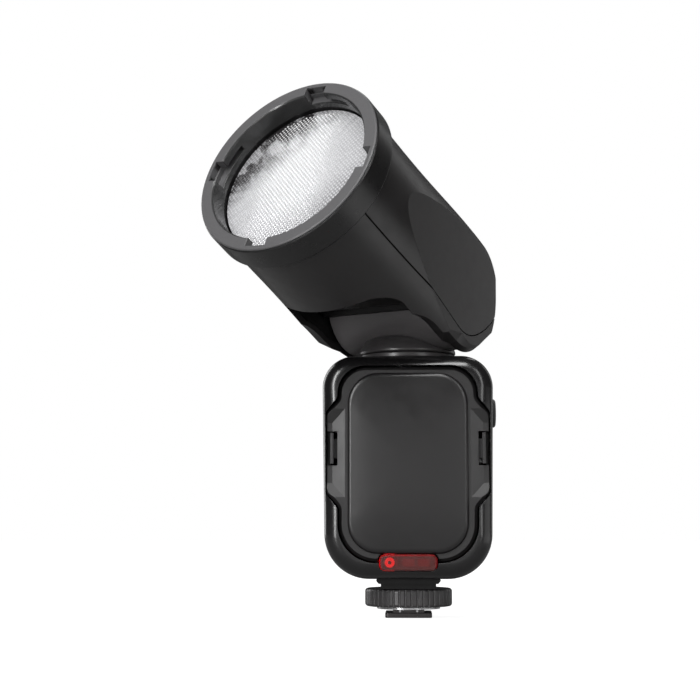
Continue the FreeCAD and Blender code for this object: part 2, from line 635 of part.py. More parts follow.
def head_envelope(inset):
    """Barrel, domed rear and flat cheeks, shrunk by inset."""
    front = RING_FACE - RING_W - RING_GAP
    r = inset
    curve = Part.BSplineCurve()
    curve.interpolate([V(front, 0, BARREL_R - r), V(62, 0, 36.45 - r), V(43, 0, 37.0 - r),
                       V(25, 0, 37.9 - r), V(12, 0, 38.4 - r), V(0, 0, DOME_R - r)])
    dome = DOME_R - r
    edges = [
        Part.makeLine(V(-dome, 0, 0), V(front, 0, 0)),
        Part.makeLine(V(front, 0, 0), V(front, 0, BARREL_R - r)), curve.toShape(),
        Part.Arc(V(0, 0, dome), V(-dome * math.sqrt(0.5), 0, dome * math.sqrt(0.5)), V(-dome, 0, 0)).toShape()]
    barrel = Part.Face(Part.Wire(edges)).revolve(V(0, 0, 0), X_AXIS, 360)
    edge = CHEEK_T - inset
    far = 120.0
    near = -60.0
    wedge = Part.makePolygon([
        V(near, edge + near * CHEEK_SLOPE, -60), V(far, edge + far * CHEEK_SLOPE, -60),
        V(far, -edge - far * CHEEK_SLOPE, -60), V(near, -edge - near * CHEEK_SLOPE, -60),
        V(near, edge + near * CHEEK_SLOPE, -60)])
    cheeks = Part.Face(wedge).extrude(V(0, 0, 120))
    return barrel.common(cheeks).common(head_side_profile(inset)).common(corner_space(inset))


def seam_solid(drop):
    """Everything above the seam between the two shells, lowered by drop."""
    low = SEAM_UP - drop
    start = V(120, 0, low)
    turn = V(4.0, 0, low)
    rear_points = [V(x - drop * 0.7, 0, z - drop * 0.7) for x, z in SEAM_REAR]
    end = rear_points[-1]
    sweep_up = Part.BSplineCurve()
    sweep_up.interpolate([turn] + rear_points, InitialTangent=V(-1, 0, 0), FinalTangent=V(-0.3, 0, 0.95))
    edges = [
        Part.makeLine(start, turn), sweep_up.toShape(),
        Part.makeLine(end, V(-60, 0, end.z)), Part.makeLine(V(-60, 0, end.z), V(-60, 0, 60)),
        Part.makeLine(V(-60, 0, 60), V(120, 0, 60)), Part.makeLine(V(120, 0, 60), start)]
    wire = Part.Wire(edges)
    wire.translate(V(0, -60, 0))
    return Part.Face(wire).extrude(V(0, 120, 0))


def slot_solid(grow):
    """Space the neck and drum move through, larger by grow."""
    reach = WELL_R + grow
    rear_top = 5.0 - grow
    rise = math.sqrt(max(reach ** 2 - rear_top ** 2, 0.0))
    diagonal = reach * math.sqrt(0.5)
    lip = SLOT_LIP + grow * 1.2
    side = prism_t([
        (diagonal * 0.6, -diagonal * 0.6), (diagonal, -diagonal), (SLOT_LIP - 14.0, -21.4 + grow),
        (SLOT_LIP - 4.0 + grow, -27.5 + grow), (lip, -37.0), (lip + 4.0, -50.0), (lip + 4.0, -70),
        (-70, -70), (-70, 70), (-rear_top, 70),
        (-rear_top, rise * 0.6)], SLOT_HALF + grow)
    plan = rounded_slot_plan(grow, lip)
    side = side.common(plan)
    drum_space = rod(reach, V(0, -SLOT_HALF - grow, 0), V(0, SLOT_HALF + grow, 0))
    return side.fuse(drum_space)


def rounded_slot_plan(grow, lip):
    """Bottom view of the slot: straight sides and a rounded front."""
    half = SLOT_HALF + grow
    radius = SLOT_CORNER_R
    step = radius * (1 - math.sqrt(0.5))
    edges = [
        Part.makeLine(V(-80, -half, 0), V(lip - radius, -half, 0)),
        Part.Arc(V(lip - radius, -half, 0), V(lip - step, -half + step, 0),
                 V(lip, -half + radius, 0)).toShape(),
        Part.makeLine(V(lip, -half + radius, 0), V(lip, half - radius, 0)),
        Part.Arc(V(lip, half - radius, 0), V(lip - step, half - step, 0), V(lip - radius, half, 0)).toShape(),
        Part.makeLine(V(lip - radius, half, 0), V(-80, half, 0)),
        Part.makeLine(V(-80, half, 0), V(-80, -half, 0))]
    face = Part.Face(Part.Wire(edges))
    face.translate(V(0, 0, -80))
    return face.extrude(V(0, 0, 160))


def build_head_shells():
    bore = rod(BARREL_R - WALL, V(60, 0, 0), V(120, 0, 0))
    shell = head_envelope(0).cut(head_envelope(WALL)).cut(bore).cut(slot_solid(0))
    add_head("head_upper_shell", shell.common(seam_solid(-SEAM_GAP / 2)))
    add_head("head_lower_shell", shell.cut(seam_solid(SEAM_GAP / 2)))

    liner = slot_solid(1.4).cut(slot_solid(0.0)).common(head_envelope(WALL + 0.05))
    liner = liner.cut(rod(HUB_R, V(0, -60, 0), V(0, 60, 0)))
    add_head("neck_well", liner)

    inner_end = SLOT_HALF + 0.1
    outer_end = SLOT_HALF + 1.15
    hubs = [tube(HUB_R, TILT_SHAFT_R + RUN, V(0, side * inner_end, 0), V(0, side * outer_end, 0))
            for side in (1, -1)]
    add_head("tilt_hubs", *hubs)


# ---------------------------------------------------------------- ring and front glass
def notch_cut(angle):
    """Bayonet notch at one angle, with the groove that leads clockwise from it."""
    mouth = box(RING_FACE - 3.2, RING_FACE + 1, -NOTCH_HALF, NOTCH_HALF, 20, RING_NOTCH_R)
    arc = tube(RING_NOTCH_R - 0.4, 20, V(RING_FACE - 5.4, 0, 0), V(RING_FACE - 3.2, 0, 0))
    joined = mouth.fuse(arc.common(prism_wedge(-NOTCH_DEG / 2, NOTCH_DEG / 2 + GROOVE_DEG)))
    joined.rotate(V(0, 0, 0), X_AXIS, -angle)
    return joined


def prism_wedge(start_deg, end_deg):
    """Wedge about the head's axis, in degrees clockwise from straight up."""
    def at(deg):
        turn = math.radians(deg)
        return V(RING_FACE - 20, 60 * math.sin(turn), 60 * math.cos(turn))
    centre = V(RING_FACE - 20, 0, 0)
    middle_deg = (start_deg + end_deg) / 2
    outline = Part.makePolygon([centre, at(start_deg), at(middle_deg), at(end_deg), centre])
    return Part.Face(outline).extrude(V(40, 0, 0))


def build_ring():
    back = RING_FACE - RING_W
    sleeve = revolve_x([
        (back, BARREL_R - 2.6), (back, RING_R - 0.2), (back + 0.5, RING_R + 0.15),
        (back + 1.5, RING_R + 0.15),
        (RING_FACE - 1.3, RING_R), (RING_FACE - 0.9, RING_R - 0.35), (RING_FACE - 0.9, BARREL_R - 0.1),
        (back + 3.4, BARREL_R - 0.1), (back + 3.4, RING_BORE_R + 0.5), (back - 6, RING_BORE_R + 0.5),
        (back - 6, BARREL_R - WALL - 0.1), (back, BARREL_R - WALL - 0.1)])
    add_head("ring_sleeve", sleeve)

    face = revolve_x([
        (back + 3.5, RING_BORE_R), (RING_FACE - 0.5, RING_BORE_R), (RING_FACE, RING_BORE_R + 0.5),
        (RING_FACE, RING_R - 0.75), (RING_FACE - 0.35, RING_R - 0.35), (RING_FACE - 0.8, RING_R - 0.35),
        (RING_FACE - 0.8, BARREL_R - 0.2), (back + 3.5, BARREL_R - 0.2)])
    for i in range(4):
        face = face.cut(notch_cut(NOTCH_START + 90 * i))
    magnets = []
    for i in range(8):
        angle = math.radians(NOTCH_START + 36 + 45 * i)
        centre = V(0, math.sin(angle), math.cos(angle)) * 34.3
        magnets.append(rod(1.2, centre + V(back + 3.6, 0, 0), centre + V(back + 5.2, 0, 0)))
    add_head("bayonet_ring", face.cut(Part.Compound(magnets)))
    add_head("ring_magnets", *magnets)


def build_lens():
    radius = (LENS_R ** 2 + LENS_RISE ** 2) / (2 * LENS_RISE)
    cap = Part.makeSphere(radius, V(LENS_X + LENS_RISE - radius, 0, 0))
    lens = cap.common(rod(LENS_R, V(LENS_X - 0.1, 0, 0), V(LENS_X + LENS_RISE + 1, 0, 0)))
    lens = lens.fuse(rod(LENS_R, V(LENS_X - 1.6, 0, 0), V(LENS_X, 0, 0))).removeSplitter()
    add_head("front_lens", lens)


# ---------------------------------------------------------------- zoom light unit
def bowl_points(radius, depth, mouth, throat):
    """Parabolic bowl from the throat to the mouth."""
    count = 10
    points = []
    for i in range(count + 1):
        r = throat + (radius - throat) * i / count
        points.append((mouth - depth + depth * ((r - throat) / (radius - throat)) ** 2, r))
    return points


def build_light_unit():
    inner = bowl_points(REFLECTOR_R, 22.0, REFLECTOR_X, 11.2)
    outer = [(x - 0.9, r + 0.5) for x, r in reversed(inner)]
    add_head("reflector", revolve_x(inner + outer))

    housing = rod(13.0, V(REFLECTOR_X - 29, 0, 0), V(REFLECTOR_X - 23.2, 0, 0))
    housing = housing.cut(rod(11.4, V(REFLECTOR_X - 27.6, 0, 0), V(REFLECTOR_X - 20, 0, 0)))
    add_head("lamp_housing", housing)
    flash = Part.makeTorus(8.6, 1.9, V(REFLECTOR_X - 17.6, 0, 0), X_AXIS)
    legs = [rod(1.9, V(REFLECTOR_X - 27.4, 0, z), V(REFLECTOR_X - 17.6, 0, z)) for z in (-8.6, 8.6)]
    glass = flash.fuse(legs[0]).fuse(legs[1]).removeSplitter()
    glass = glass.common(rod(10.9, V(REFLECTOR_X - 30, 0, 0), V(REFLECTOR_X, 0, 0)))
    add_head("flash_tube", glass)
    add_head("modelling_led", rod(3.6, V(REFLECTOR_X - 27.5, 0, 0), V(REFLECTOR_X - 25.6, 0, 0)))

    ring = tube(32.0, REFLECTOR_R + 0.6, V(REFLECTOR_X - 4.2, 0, 0), V(REFLECTOR_X - 1.2, 0, 0))
    for side in (1, -1):
        ring = ring.cut(rod(RAIL_R + RUN, V(0, side * RAIL_Y, RAIL_Z), V(120, side * RAIL_Y, RAIL_Z)))
    ring = ring.cut(rod(SCREW_R + RUN, V(0, 0, SCREW_Z), V(120, 0, SCREW_Z)))
    add_head("zoom_carriage", ring)

    rails = [rod(RAIL_R, V(40.0, y, RAIL_Z), V(LENS_X - 3.0, y, RAIL_Z)) for y in (-RAIL_Y, RAIL_Y)]
    add_head("zoom_rails", *rails)
    screw = rod(SCREW_R, V(31.6, 0, SCREW_Z), V(LENS_X - 3.0, 0, SCREW_Z))
    flat = box(20, 40, -3, 3, SCREW_Z + SCREW_R - 0.4, SCREW_Z + 4)
    add_head("lead_screw", screw.cut(flat))
    motor = rod(4.6, V(14.0, 0, SCREW_Z - 0.4), V(30.4, 0, SCREW_Z - 0.4))
    motor = motor.fuse(rod(1.0, V(30.0, 0, SCREW_Z), V(31.4, 0, SCREW_Z)))
    add_head("zoom_motor", motor)


# ---------------------------------------------------------------- fasteners
def build_fasteners():
    screws = []
    for x, z in SCREW_SPOTS:
        head = rod(1.65, V(x, 26.2, z), V(x, 26.8, z))
        screws.append(head.cut(box(x - 1.1, x + 1.1, 26.4, 27, z - 0.25, z + 0.25)))
    add("case_screws", *screws)


build_casing()
build_controls()
build_boards()
build_ports()
build_battery()
build_focus_lamp()
build_foot()
build_yoke()
build_head_shells()
build_ring()
build_lens()
build_light_unit()
build_fasteners()

os.makedirs("parts", exist_ok=True)
for name, shape in parts.items():
    shape.exportStep("parts/" + name + ".step")
    solids = len(shape.Solids)
    print(name, solids, round(shape.Volume / 1000, 2), shape.isValid())
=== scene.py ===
"""Looks of the round-head speedlight flash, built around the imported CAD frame.

Blender works in metres. A length in millimetres is multiplied by MM where it is used.
"""
import json
import math

import bmesh
import bpy
from mathutils import Matrix, Vector


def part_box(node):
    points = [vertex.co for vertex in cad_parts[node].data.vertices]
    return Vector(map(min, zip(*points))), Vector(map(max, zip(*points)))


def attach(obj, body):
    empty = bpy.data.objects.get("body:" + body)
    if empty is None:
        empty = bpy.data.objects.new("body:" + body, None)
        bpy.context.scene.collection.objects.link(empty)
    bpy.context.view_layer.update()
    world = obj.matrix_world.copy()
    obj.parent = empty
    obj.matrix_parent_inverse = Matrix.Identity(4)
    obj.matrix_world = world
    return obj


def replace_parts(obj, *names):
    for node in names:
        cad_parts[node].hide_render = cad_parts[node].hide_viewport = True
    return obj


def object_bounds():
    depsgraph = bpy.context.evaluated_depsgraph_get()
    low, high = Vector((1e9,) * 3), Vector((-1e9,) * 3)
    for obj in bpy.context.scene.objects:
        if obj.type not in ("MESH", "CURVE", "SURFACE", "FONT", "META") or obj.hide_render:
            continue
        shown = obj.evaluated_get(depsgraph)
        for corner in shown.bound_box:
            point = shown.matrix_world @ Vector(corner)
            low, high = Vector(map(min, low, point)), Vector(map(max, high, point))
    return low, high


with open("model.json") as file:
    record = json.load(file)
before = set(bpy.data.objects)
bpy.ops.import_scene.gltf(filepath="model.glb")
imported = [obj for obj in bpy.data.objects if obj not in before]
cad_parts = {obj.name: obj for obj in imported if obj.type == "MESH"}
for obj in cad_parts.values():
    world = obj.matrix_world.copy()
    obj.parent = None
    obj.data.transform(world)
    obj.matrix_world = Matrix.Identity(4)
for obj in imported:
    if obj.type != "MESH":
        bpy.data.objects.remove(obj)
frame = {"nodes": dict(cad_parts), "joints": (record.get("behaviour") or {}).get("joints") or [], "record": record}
cad_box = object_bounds()
nodes = frame["nodes"]
MM = 0.001

# ---------------------------------------------------------------- the head's own frame
tilt_joint = next(joint for joint in frame["joints"] if joint["name"] == "head_tilt")
SWIVEL = math.atan2(tilt_joint["axis"][1], -tilt_joint["axis"][0])
TILT = math.radians(-tilt_joint["range_deg"][0])    # the head is level at the joint's lower limit
TILT_Z = tilt_joint["pos_m"][2]
HEAD = (Matrix.Translation((0, 0, TILT_Z)) @ Matrix.Rotation(-math.pi / 2 - SWIVEL, 4, "Z")
        @ Matrix.Rotation(-TILT, 4, "Y"))
LENS_X = 84.2                  # the CAD lens's rim, radius and rise, in mm
LENS_R = 32.2
LENS_RISE = 1.0
PRISM_PITCH = 1.25

# ---------------------------------------------------------------- places read from the frame
WINDOW_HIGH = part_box("focus_window")[1]
lamp_low, lamp_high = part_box("focus_leds")
LAMP_R = (lamp_high.z - lamp_low.z) / 2
LAMP_X = lamp_low.x + LAMP_R
LAMP_Z = (lamp_low.z + lamp_high.z) / 2
LAMP_FRONT = lamp_low.y


# ---------------------------------------------------------------- node helpers
class Shader:
    """One material and the few node calls that the finishes below share."""

    def __init__(self, name):
        self.material = bpy.data.materials.new(name)
        self.material.use_nodes = True
        self.tree = self.material.node_tree
        self.bsdf = self.tree.nodes["Principled BSDF"]
        self.coords = self.tree.nodes.new("ShaderNodeTexCoord").outputs["Object"]

    def link(self, source, target):
        self.tree.links.new(source, target)

    def noise(self, scale, detail=2.0, roughness=0.5, stretch=None):
        node = self.tree.nodes.new("ShaderNodeTexNoise")
        node.inputs["Scale"].default_value = scale
        node.inputs["Detail"].default_value = detail
        node.inputs["Roughness"].default_value = roughness
        source = self.coords
        if stretch:
            mapping = self.tree.nodes.new("ShaderNodeMapping")
            mapping.inputs["Scale"].default_value = stretch
            self.link(source, mapping.inputs["Vector"])
            source = mapping.outputs["Vector"]
        self.link(source, node.inputs["Vector"])
        return node.outputs["Fac"]

    def voronoi(self, scale, feature="F1"):
        node = self.tree.nodes.new("ShaderNodeTexVoronoi")
        node.feature = feature
        node.inputs["Scale"].default_value = scale
        self.link(self.coords, node.inputs["Vector"])
        return node.outputs["Distance"]

    def remap(self, source, low, high, to_low, to_high):
        node = self.tree.nodes.new("ShaderNodeMapRange")
        for name, value in (("From Min", low), ("From Max", high), ("To Min", to_low), ("To Max", to_high)):
            node.inputs[name].default_value = value
        self.link(source, node.inputs["Value"])
        return node.outputs["Result"]

    def math(self, operation, a, b=0.0):
        node = self.tree.nodes.new("ShaderNodeMath")
        node.operation = operation
        for socket, value in zip(node.inputs, (a, b)):
            if isinstance(value, (int, float)):
                socket.default_value = value
            else:
                self.link(value, socket)
        return node.outputs["Value"]

    def mix(self, factor, dark, light):
        node = self.tree.nodes.new("ShaderNodeMix")
        node.data_type = "RGBA"
        self.link(factor, node.inputs["Factor"])
        for socket, value in ((node.inputs[6], dark), (node.inputs[7], light)):
            if isinstance(value, bpy.types.NodeSocket):
                self.link(value, socket)
            else:
                socket.default_value = (*value, 1.0)
        return node.outputs[2]

    def bump(self, height, distance, strength=0.5, edge=0.0):
        node = self.tree.nodes.new("ShaderNodeBump")
        node.inputs["Distance"].default_value = distance
        node.inputs["Strength"].default_value = strength
        self.link(height, node.inputs["Height"])
        if edge:
            bevel = self.tree.nodes.new("ShaderNodeBevel")
            bevel.samples = 4
            bevel.inputs["Radius"].default_value = edge
            self.link(bevel.outputs["Normal"], node.inputs["Normal"])
        self.link(node.outputs["Normal"], self.bsdf.inputs["Normal"])

    def head_radius(self):
        """Distance from the head's optical axis."""
        offset = self.tree.nodes.new("ShaderNodeVectorMath")
        offset.operation = "SUBTRACT"
        self.link(self.coords, offset.inputs[0])
        offset.inputs[1].default_value = (0.0, 0.0, TILT_Z)
        along = self.tree.nodes.new("ShaderNodeVectorMath")
        along.operation = "DOT_PRODUCT"
        self.link(offset.outputs["Vector"], along.inputs[0])
        along.inputs[1].default_value = HEAD.to_3x3() @ Vector((1, 0, 0))
        reach = self.tree.nodes.new("ShaderNodeVectorMath")
        reach.operation = "LENGTH"
        self.link(offset.outputs["Vector"], reach.inputs[0])
        sides = (reach.outputs["Value"], along.outputs["Value"])
        squares = [self.math("MULTIPLY", side, side) for side in sides]
        return self.math("SQRT", self.math("SUBTRACT", *squares))

    def set(self, **values):
        for name, value in values.items():
            self.bsdf.inputs[name.replace("_", " ")].default_value = value


def scaled(color, factor):
    return tuple(c * factor for c in color)


def plastic(name, color, rough=(0.4, 0.5), grain=2600, depth=0.03, tone=0.12, edge=0.0, **sockets):
    """Moulded plastic: fine spark-eroded grain, slow drifts of tone and slightly uneven gloss."""
    s = Shader(name)
    fine = s.noise(grain, 3.0, 0.6)
    slow = s.noise(38, 3.0, 0.5)
    blend = s.math("ADD", s.math("MULTIPLY", fine, 0.55), s.math("MULTIPLY", slow, 0.45))
    factor = s.remap(blend, 0.35, 0.65, 0.0, 1.0)
    s.link(s.mix(factor, scaled(color, 1 - tone), scaled(color, 1 + tone)), s.bsdf.inputs["Base Color"])
    s.link(s.remap(s.noise(150, 4.0, 0.6), 0.3, 0.7, rough[0], rough[1]), s.bsdf.inputs["Roughness"])
    s.bump(fine, depth * MM, 0.5, edge)
    s.set(**sockets)
    return s.material


def metal(name, color, rough=(0.25, 0.4), stretch=(1, 1, 1), scale=1800, depth=0.006, tone=0.15, **sockets):
    """Machined or plated metal with drawn marks and uneven polish."""
    s = Shader(name)
    marks = s.noise(scale, 4.0, 0.65, stretch)
    s.link(s.mix(s.remap(marks, 0.3, 0.7, 0.0, 1.0), scaled(color, 1 - tone), scaled(color, 1 + tone)),
           s.bsdf.inputs["Base Color"])
    s.link(s.remap(s.noise(300, 3.0), 0.3, 0.7, rough[0], rough[1]), s.bsdf.inputs["Roughness"])
    s.bump(marks, depth * MM, 0.4)
    s.set(Metallic=1.0, **sockets)
    return s.material


def board_finish(name):
    """Solder-masked board with copper traces showing through."""
    s = Shader(name)
    traces = s.voronoi(420, "DISTANCE_TO_EDGE")
    s.link(s.mix(s.remap(traces, 0.02, 0.08, 0.0, 1.0), (0.03, 0.20, 0.08), (0.008, 0.07, 0.03)),
           s.bsdf.inputs["Base Color"])
    s.link(s.remap(s.noise(500), 0.3, 0.7, 0.25, 0.4), s.bsdf.inputs["Roughness"])
    s.bump(traces, 0.03 * MM, 0.4)
    return s.material


def glass_finish(name, color, rough, transmission):
    """Tinted clear part with faint moulding ripples."""
    s = Shader(name)
    ripple = s.noise(900, 2.0)
    s.link(s.mix(s.remap(ripple, 0.3, 0.7, 0.0, 1.0), scaled(color, 0.85), scaled(color, 1.1)),
           s.bsdf.inputs["Base Color"])
    s.link(s.remap(s.noise(200), 0.3, 0.7, rough * 0.8, rough * 1.2), s.bsdf.inputs["Roughness"])
    s.bump(ripple, 0.01 * MM, 0.3)
    s.set(Transmission_Weight=transmission, IOR=1.49, Coat_Weight=0.3)
    return s.material


def ring_finish():
    """Satin grey ring face that turns glossy and darker on the wall facing the lens."""
    s = Shader("ring_grey")
    fine = s.noise(3000, 3.0, 0.6)
    inner = s.remap(s.head_radius(), 32.9 * MM, 33.3 * MM, 1.0, 0.0)
    face = s.mix(s.remap(fine, 0.35, 0.65, 0.0, 1.0), (0.062, 0.061, 0.063), (0.078, 0.077, 0.079))
    s.link(s.remap(inner, 0.0, 1.0, 0.42, 0.12), s.bsdf.inputs["Roughness"])
    s.link(s.math("MULTIPLY", inner, 0.5), s.bsdf.inputs["Metallic"])
    wall = s.mix(s.remap(fine, 0.35, 0.65, 0.0, 1.0), (0.050, 0.050, 0.050), (0.064, 0.064, 0.064))
    s.link(s.mix(inner, face, wall), s.bsdf.inputs["Base Color"])
    s.bump(fine, 0.03 * MM, 0.5, 0.0004)
    return s.material


def lamp_finish():
    """Bright round lamp and, beside it, receiver blocks that glow only faintly."""
    s = Shader("led_red")
    split = s.tree.nodes.new("ShaderNodeSeparateXYZ")
    s.link(s.coords, split.inputs["Vector"])
    lamp_edge = LAMP_X + LAMP_R
    lit = s.remap(split.outputs["X"], lamp_edge - 0.1 * MM, lamp_edge + 0.1 * MM, 1.0, 0.0)
    grain = s.remap(s.noise(2000), 0.3, 0.7, 0.85, 1.15)
    s.link(s.mix(s.math("MULTIPLY", lit, grain), (0.16, 0.012, 0.016), (0.85, 0.012, 0.02)),
           s.bsdf.inputs["Base Color"])
    s.link(s.mix(lit, (0.07, 0.002, 0.003), (1.0, 0.02, 0.03)), s.bsdf.inputs["Emission Color"])
    s.link(s.remap(s.noise(700), 0.3, 0.7, 0.2, 0.3), s.bsdf.inputs["Roughness"])
    s.set(Emission_Strength=6.0)
    return s.material


def window_finish():
    """Dark red tinted window with a painted highlight at its sides and top: a brighter red standing in for a
    reflection along its rim.
    """
    s = Shader("window_red")
    split = s.tree.nodes.new("ShaderNodeSeparateXYZ")
    s.link(s.coords, split.inputs["Vector"])
    width, height = WINDOW_HIGH.x, WINDOW_HIGH.z
    # Painted highlight: a lighter red along the sides and top of the window, standing in for a reflection.
    side = s.remap(s.math("ABSOLUTE", split.outputs["X"]), width - 1.2 * MM, width - 0.1 * MM, 0.0, 1.0)
    top = s.remap(split.outputs["Z"], height - 1.0 * MM, height - 0.1 * MM, 0.0, 1.0)
    drift = s.remap(s.noise(500, 2.0), 0.3, 0.7, 0.8, 1.1)
    rim = s.math("MULTIPLY", s.math("MAXIMUM", side, top), drift)
    s.link(s.mix(rim, (0.20, 0.042, 0.038), (0.62, 0.020, 0.025)), s.bsdf.inputs["Base Color"])
    s.link(s.remap(s.noise(200), 0.3, 0.7, 0.07, 0.11), s.bsdf.inputs["Roughness"])
    s.bump(s.noise(900, 2.0), 0.01 * MM, 0.3)
    s.set(Transmission_Weight=0.75, IOR=1.49, Coat_Weight=0.3)
    return s.material


# ---------------------------------------------------------------- finishes
finishes = {
    "frame_black": plastic("frame_black", (0.006, 0.0057, 0.006), (0.20, 0.28), 3200, 0.012, 0.1, 0.0003,
                           Coat_Weight=0.12),
    "shell_charcoal": plastic("shell_charcoal", (0.013, 0.0119, 0.0122), (0.30, 0.38),
                              2400, 0.020, 0.10, 0.0003),
    "panel_charcoal": plastic("panel_charcoal", (0.009, 0.0083, 0.0086), (0.29, 0.36),
                              2600, 0.018, 0.10, 0.0003),
    "pack_black": plastic("pack_black", (0.014, 0.0133, 0.0136), (0.32, 0.42), 3000, 0.015, 0.1, 0.0003),
    "collar_black": plastic("collar_black", (0.045, 0.0425, 0.0435), (0.28, 0.36),
                            3000, 0.010, 0.1, 0.0002),
    "ring_grey": ring_finish(),
    "sleeve_charcoal": plastic("sleeve_charcoal", (0.007, 0.0066, 0.0068), (0.26, 0.34),
                               3000, 0.02, 0.1, 0.0003),
    "rubber_black": plastic("rubber_black", (0.014, 0.014, 0.014), (0.62, 0.74), 1800, 0.05, 0.15, 0.0002,
                            Sheen_Weight=0.15),
    "wheel_charcoal": plastic("wheel_charcoal", (0.036, 0.034, 0.035), (0.28, 0.36),
                              2600, 0.02, 0.12, 0.0002),
    "nylon_black": plastic("nylon_black", (0.005, 0.005, 0.005), (0.30, 0.42), 2200, 0.02, 0.15,
                           Specular_IOR_Level=0.25),
    "white_nylon": plastic("white_nylon", (0.62, 0.61, 0.58), (0.4, 0.5), 1500, 0.02, 0.05),
    "key_grey": plastic("key_grey", (0.016, 0.0155, 0.016), (0.36, 0.46), 2600, 0.02, 0.1, 0.0002),
    "ferrite": plastic("ferrite", (0.09, 0.07, 0.05), (0.6, 0.8), 1400, 0.08, 0.3),
    "capacitor_sleeve": plastic("capacitor_sleeve", (0.02, 0.02, 0.045), (0.25, 0.35), 900, 0.02, 0.2),
    "cell_wrap": plastic("cell_wrap", (0.05, 0.16, 0.26), (0.28, 0.4), 900, 0.02, 0.15),
    "led_yellow": plastic("led_yellow", (0.85, 0.62, 0.10), (0.3, 0.4), 1500, 0.02, 0.15),
    "display_black": plastic("display_black", (0.006, 0.006, 0.007), (0.06, 0.12), 300, 0.001, 0.2,
                             Coat_Weight=0.6),
    "display_panel": plastic("display_panel", (0.03, 0.035, 0.045), (0.3, 0.4), 1200, 0.01, 0.2),
    "foot_metal": metal("foot_metal", (0.075, 0.070, 0.070), (0.28, 0.42), (1, 1, 6)),
    "contact_gold": metal("contact_gold", (0.80, 0.52, 0.30), (0.2, 0.32)),
    "steel": metal("steel", (0.52, 0.52, 0.53), (0.22, 0.36), (1, 1, 5)),
    "aluminium": metal("aluminium", (0.60, 0.60, 0.61), (0.38, 0.5), scale=900, depth=0.03),
    "reflector_chrome": metal("reflector_chrome", (0.88, 0.88, 0.89), (0.05, 0.12), scale=500, tone=0.04),
    "magnet": metal("magnet", (0.62, 0.62, 0.63), (0.15, 0.25)),
    "board_green": board_finish("board_green"),
    "tube_glass": glass_finish("tube_glass", (0.92, 0.94, 0.97), 0.05, 0.8),
    "lens_clear": glass_finish("lens_clear", (0.92, 0.93, 0.95), 0.08, 0.5),
    "window_red": window_finish(),
    "led_red": lamp_finish(),
}
# Painted light: the drum gets a copy of the shell plastic, far lighter than the shells, standing in for the light
# that falls on it.
drum_painted_light_copy = plastic("drum_shell_painted_light", (0.085, 0.0800, 0.0820), (0.32, 0.40), 2600, 0.015, 0.1, 0.0003)

for part in frame["record"]["subparts"]:
    piece = nodes[part["node"]]
    piece.data.materials.clear()
    piece.data.materials.append(finishes[part["material_slot"]])
# The drum's lighter copy of the shell plastic is painted light.
nodes["tilt_drum"].data.materials[0] = drum_painted_light_copy


# ---------------------------------------------------------------- mesh helpers
def mesh_object(name, bm, material, body, place=None):
    bmesh.ops.recalc_face_normals(bm, faces=bm.faces)
    mesh = bpy.data.meshes.new(name)
    bm.to_mesh(mesh)
    bm.free()
    mesh.materials.append(material)
    piece = bpy.data.objects.new(name, mesh)
    bpy.context.scene.collection.objects.link(piece)
    if place:
        piece.matrix_world = place
        bpy.context.view_layer.update()
    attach(piece, body)
    return piece


# ---------------------------------------------------------------- front glass with its prism grid
def lens_height(r):
    """Forward position of the domed glass at radius r, in the head's frame, in mm."""
    radius = (LENS_R ** 2 + LENS_RISE ** 2) / (2 * LENS_RISE)
    return LENS_X + LENS_RISE - radius + math.sqrt(radius ** 2 - r ** 2)


